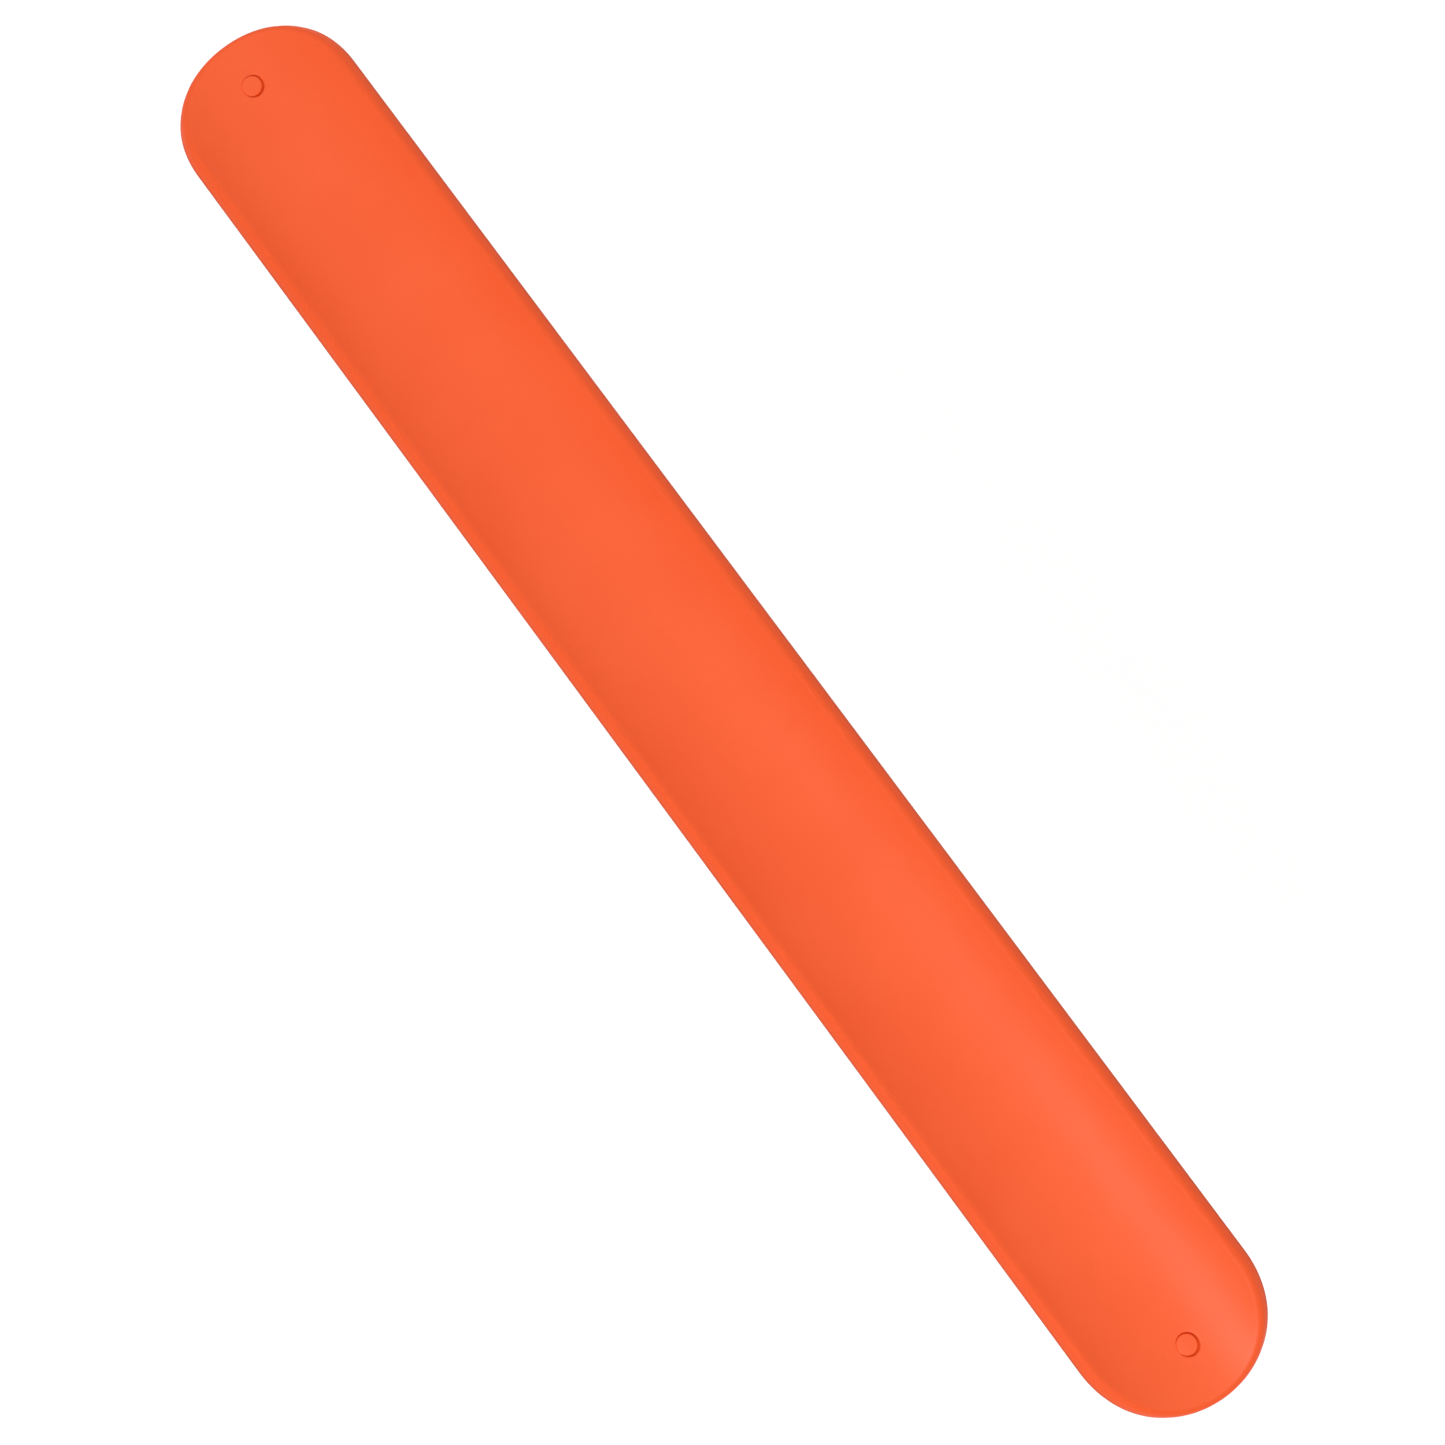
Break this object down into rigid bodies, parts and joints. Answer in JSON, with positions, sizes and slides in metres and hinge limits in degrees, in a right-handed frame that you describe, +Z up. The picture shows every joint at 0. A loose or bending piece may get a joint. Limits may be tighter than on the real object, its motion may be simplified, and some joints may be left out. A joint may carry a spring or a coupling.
{
  "type": "slap band",
  "caption": "Plain orange silicone slap band: a long narrow troughed strip with full-round ends over a hidden spring strip, which curls into a ring.",
  "frame": {"origin": "on the convex back, at the middle of the straight band, where it rests on a table", "axes": "+X along the band to its right end, +Y across it, +Z up, out of the hollow decorated face"},
  "size_m": [0.222, 0.026, 0.0063],
  "materials": {
    "orange_silicone": "smooth matte moulded silicone, bright orange",
    "plug_silicone": "cast silicone in the same orange, a touch glossier",
    "spring_steel": "cold-rolled stainless spring strip, lengthwise grain",
    "guard_film": "thin translucent-white polyester film"
  },
  "bodies": {
    "middle": {"jacket_middle": "orange_silicone", "spring_middle": "spring_steel"},
    "right_01": {"jacket_right_01": "orange_silicone", "spring_right_01": "spring_steel"},
    "left_01": {"jacket_left_01": "orange_silicone", "spring_left_01": "spring_steel"},
    "right_02": {"jacket_right_02": "orange_silicone", "spring_right_02": "spring_steel"},
    "left_02": {"jacket_left_02": "orange_silicone", "spring_left_02": "spring_steel"},
    "right_03": {"jacket_right_03": "orange_silicone", "spring_right_03": "spring_steel"},
    "left_03": {"jacket_left_03": "orange_silicone", "spring_left_03": "spring_steel"},
    "right_04": {"jacket_right_04": "orange_silicone", "spring_right_04": "spring_steel"},
    "left_04": {"jacket_left_04": "orange_silicone", "spring_left_04": "spring_steel"},
    "right_05": {"jacket_right_05": "orange_silicone", "spring_right_05": "spring_steel"},
    "left_05": {"jacket_left_05": "orange_silicone", "spring_left_05": "spring_steel"},
    "right_06": {"jacket_right_06": "orange_silicone", "spring_right_06": "spring_steel"},
    "left_06": {"jacket_left_06": "orange_silicone", "spring_left_06": "spring_steel"},
    "right_07": {"jacket_right_07": "orange_silicone", "spring_right_07": "spring_steel"},
    "left_07": {"jacket_left_07": "orange_silicone", "spring_left_07": "spring_steel"},
    "right_08": {"jacket_right_08": "orange_silicone", "spring_right_08": "spring_steel"},
    "left_08": {"jacket_left_08": "orange_silicone", "spring_left_08": "spring_steel"},
    "right_09": {"jacket_right_09": "orange_silicone", "spring_right_09": "spring_steel"},
    "left_09": {"jacket_left_09": "orange_silicone", "spring_left_09": "spring_steel"},
    "right_10": {"jacket_right_10": "orange_silicone", "spring_right_10": "spring_steel"},
    "left_10": {"jacket_left_10": "orange_silicone", "spring_left_10": "spring_steel"},
    "right_11": {"jacket_right_11": "orange_silicone", "spring_right_11": "spring_steel"},
    "left_11": {"jacket_left_11": "orange_silicone", "spring_left_11": "spring_steel"},
    "right_12": {"jacket_right_12": "orange_silicone", "spring_right_12": "spring_steel"},
    "left_12": {"jacket_left_12": "orange_silicone", "spring_left_12": "spring_steel"},
    "right_13": {"jacket_right_13": "orange_silicone", "spring_right_13": "spring_steel", "end_guard_right": "guard_film", "locating_plug_right": "plug_silicone"},
    "left_13": {"jacket_left_13": "orange_silicone", "spring_left_13": "spring_steel", "end_guard_left": "guard_film", "locating_plug_left": "plug_silicone"}
  },
  "joints": [
    {"name": "curl_right_01", "type": "hinge", "parent": "middle", "child": "right_01", "pos_m": [0.00388, 0, 0], "axis": [0, 1, 0], "range_deg": [0, 15.6]},
    {"name": "curl_right_02", "type": "hinge", "parent": "right_01", "child": "right_02", "pos_m": [0.01164, 0, 0], "axis": [0, 1, 0], "range_deg": [0, 15.6]},
    {"name": "curl_right_03", "type": "hinge", "parent": "right_02", "child": "right_03", "pos_m": [0.0194, 0, 0], "axis": [0, 1, 0], "range_deg": [0, 15.6]},
    {"name": "curl_right_04", "type": "hinge", "parent": "right_03", "child": "right_04", "pos_m": [0.02716, 0, 0], "axis": [0, 1, 0], "range_deg": [0, 15.6]},
    {"name": "curl_right_05", "type": "hinge", "parent": "right_04", "child": "right_05", "pos_m": [0.03492, 0, 0], "axis": [0, 1, 0], "range_deg": [0, 15.6]},
    {"name": "curl_right_06", "type": "hinge", "parent": "right_05", "child": "right_06", "pos_m": [0.04268, 0, 0], "axis": [0, 1, 0], "range_deg": [0, 15.6]},
    {"name": "curl_right_07", "type": "hinge", "parent": "right_06", "child": "right_07", "pos_m": [0.05044, 0, 0], "axis": [0, 1, 0], "range_deg": [0, 15.6]},
    {"name": "curl_right_08", "type": "hinge", "parent": "right_07", "child": "right_08", "pos_m": [0.0582, 0, 0], "axis": [0, 1, 0], "range_deg": [0, 15.6]},
    {"name": "curl_right_09", "type": "hinge", "parent": "right_08", "child": "right_09", "pos_m": [0.06596, 0, 0], "axis": [0, 1, 0], "range_deg": [0, 15.6]},
    {"name": "curl_right_10", "type": "hinge", "parent": "right_09", "child": "right_10", "pos_m": [0.07372, 0, 0], "axis": [0, 1, 0], "range_deg": [0, 15.6]},
    {"name": "curl_right_11", "type": "hinge", "parent": "right_10", "child": "right_11", "pos_m": [0.08148, 0, 0], "axis": [0, 1, 0], "range_deg": [0, 15.6]},
    {"name": "curl_right_12", "type": "hinge", "parent": "right_11", "child": "right_12", "pos_m": [0.08924, 0, 0], "axis": [0, 1, 0], "range_deg": [0, 15.6]},
    {"name": "curl_right_13", "type": "hinge", "parent": "right_12", "child": "right_13", "pos_m": [0.097, 0, 0], "axis": [0, 1, 0], "range_deg": [0, 15.6]},
    {"name": "curl_left_01", "type": "hinge", "parent": "middle", "child": "left_01", "pos_m": [-0.00388, 0, 0], "axis": [0, -1, 0], "range_deg": [0, 13.68]},
    {"name": "curl_left_02", "type": "hinge", "parent": "left_01", "child": "left_02", "pos_m": [-0.01164, 0, 0], "axis": [0, -1, 0], "range_deg": [0, 13.68]},
    {"name": "curl_left_03", "type": "hinge", "parent": "left_02", "child": "left_03", "pos_m": [-0.0194, 0, 0], "axis": [0, -1, 0], "range_deg": [0, 13.68]},
    {"name": "curl_left_04", "type": "hinge", "parent": "left_03", "child": "left_04", "pos_m": [-0.02716, 0, 0], "axis": [0, -1, 0], "range_deg": [0, 13.68]},
    {"name": "curl_left_05", "type": "hinge", "parent": "left_04", "child": "left_05", "pos_m": [-0.03492, 0, 0], "axis": [0, -1, 0], "range_deg": [0, 13.68]},
    {"name": "curl_left_06", "type": "hinge", "parent": "left_05", "child": "left_06", "pos_m": [-0.04268, 0, 0], "axis": [0, -1, 0], "range_deg": [0, 13.68]},
    {"name": "curl_left_07", "type": "hinge", "parent": "left_06", "child": "left_07", "pos_m": [-0.05044, 0, 0], "axis": [0, -1, 0], "range_deg": [0, 13.68]},
    {"name": "curl_left_08", "type": "hinge", "parent": "left_07", "child": "left_08", "pos_m": [-0.0582, 0, 0], "axis": [0, -1, 0], "range_deg": [0, 13.68]},
    {"name": "curl_left_09", "type": "hinge", "parent": "left_08", "child": "left_09", "pos_m": [-0.06596, 0, 0], "axis": [0, -1, 0], "range_deg": [0, 13.68]},
    {"name": "curl_left_10", "type": "hinge", "parent": "left_09", "child": "left_10", "pos_m": [-0.07372, 0, 0], "axis": [0, -1, 0], "range_deg": [0, 13.68]},
    {"name": "curl_left_11", "type": "hinge", "parent": "left_10", "child": "left_11", "pos_m": [-0.08148, 0, 0], "axis": [0, -1, 0], "range_deg": [0, 13.68]},
    {"name": "curl_left_12", "type": "hinge", "parent": "left_11", "child": "left_12", "pos_m": [-0.08924, 0, 0], "axis": [0, -1, 0], "range_deg": [0, 13.68]},
    {"name": "curl_left_13", "type": "hinge", "parent": "left_12", "child": "left_13", "pos_m": [-0.097, 0, 0], "axis": [0, -1, 0], "range_deg": [0, 13.68]}
  ],
  "couplings": [
    {"joint": "curl_right_02", "follows": "curl_right_01", "ratio": 1},
    {"joint": "curl_right_03", "follows": "curl_right_01", "ratio": 1},
    {"joint": "curl_right_04", "follows": "curl_right_01", "ratio": 1},
    {"joint": "curl_right_05", "follows": "curl_right_01", "ratio": 1},
    {"joint": "curl_right_06", "follows": "curl_right_01", "ratio": 1},
    {"joint": "curl_right_07", "follows": "curl_right_01", "ratio": 1},
    {"joint": "curl_right_08", "follows": "curl_right_01", "ratio": 1},
    {"joint": "curl_right_09", "follows": "curl_right_01", "ratio": 1},
    {"joint": "curl_right_10", "follows": "curl_right_01", "ratio": 1},
    {"joint": "curl_right_11", "follows": "curl_right_01", "ratio": 1},
    {"joint": "curl_right_12", "follows": "curl_right_01", "ratio": 1},
    {"joint": "curl_right_13", "follows": "curl_right_01", "ratio": 1},
    {"joint": "curl_left_01", "follows": "curl_right_01", "ratio": 0.87692},
    {"joint": "curl_left_02", "follows": "curl_right_01", "ratio": 0.87692},
    {"joint": "curl_left_03", "follows": "curl_right_01", "ratio": 0.87692},
    {"joint": "curl_left_04", "follows": "curl_right_01", "ratio": 0.87692},
    {"joint": "curl_left_05", "follows": "curl_right_01", "ratio": 0.87692},
    {"joint": "curl_left_06", "follows": "curl_right_01", "ratio": 0.87692},
    {"joint": "curl_left_07", "follows": "curl_right_01", "ratio": 0.87692},
    {"joint": "curl_left_08", "follows": "curl_right_01", "ratio": 0.87692},
    {"joint": "curl_left_09", "follows": "curl_right_01", "ratio": 0.87692},
    {"joint": "curl_left_10", "follows": "curl_right_01", "ratio": 0.87692},
    {"joint": "curl_left_11", "follows": "curl_right_01", "ratio": 0.87692},
    {"joint": "curl_left_12", "follows": "curl_right_01", "ratio": 0.87692},
    {"joint": "curl_left_13", "follows": "curl_right_01", "ratio": 0.87692}
  ]
}
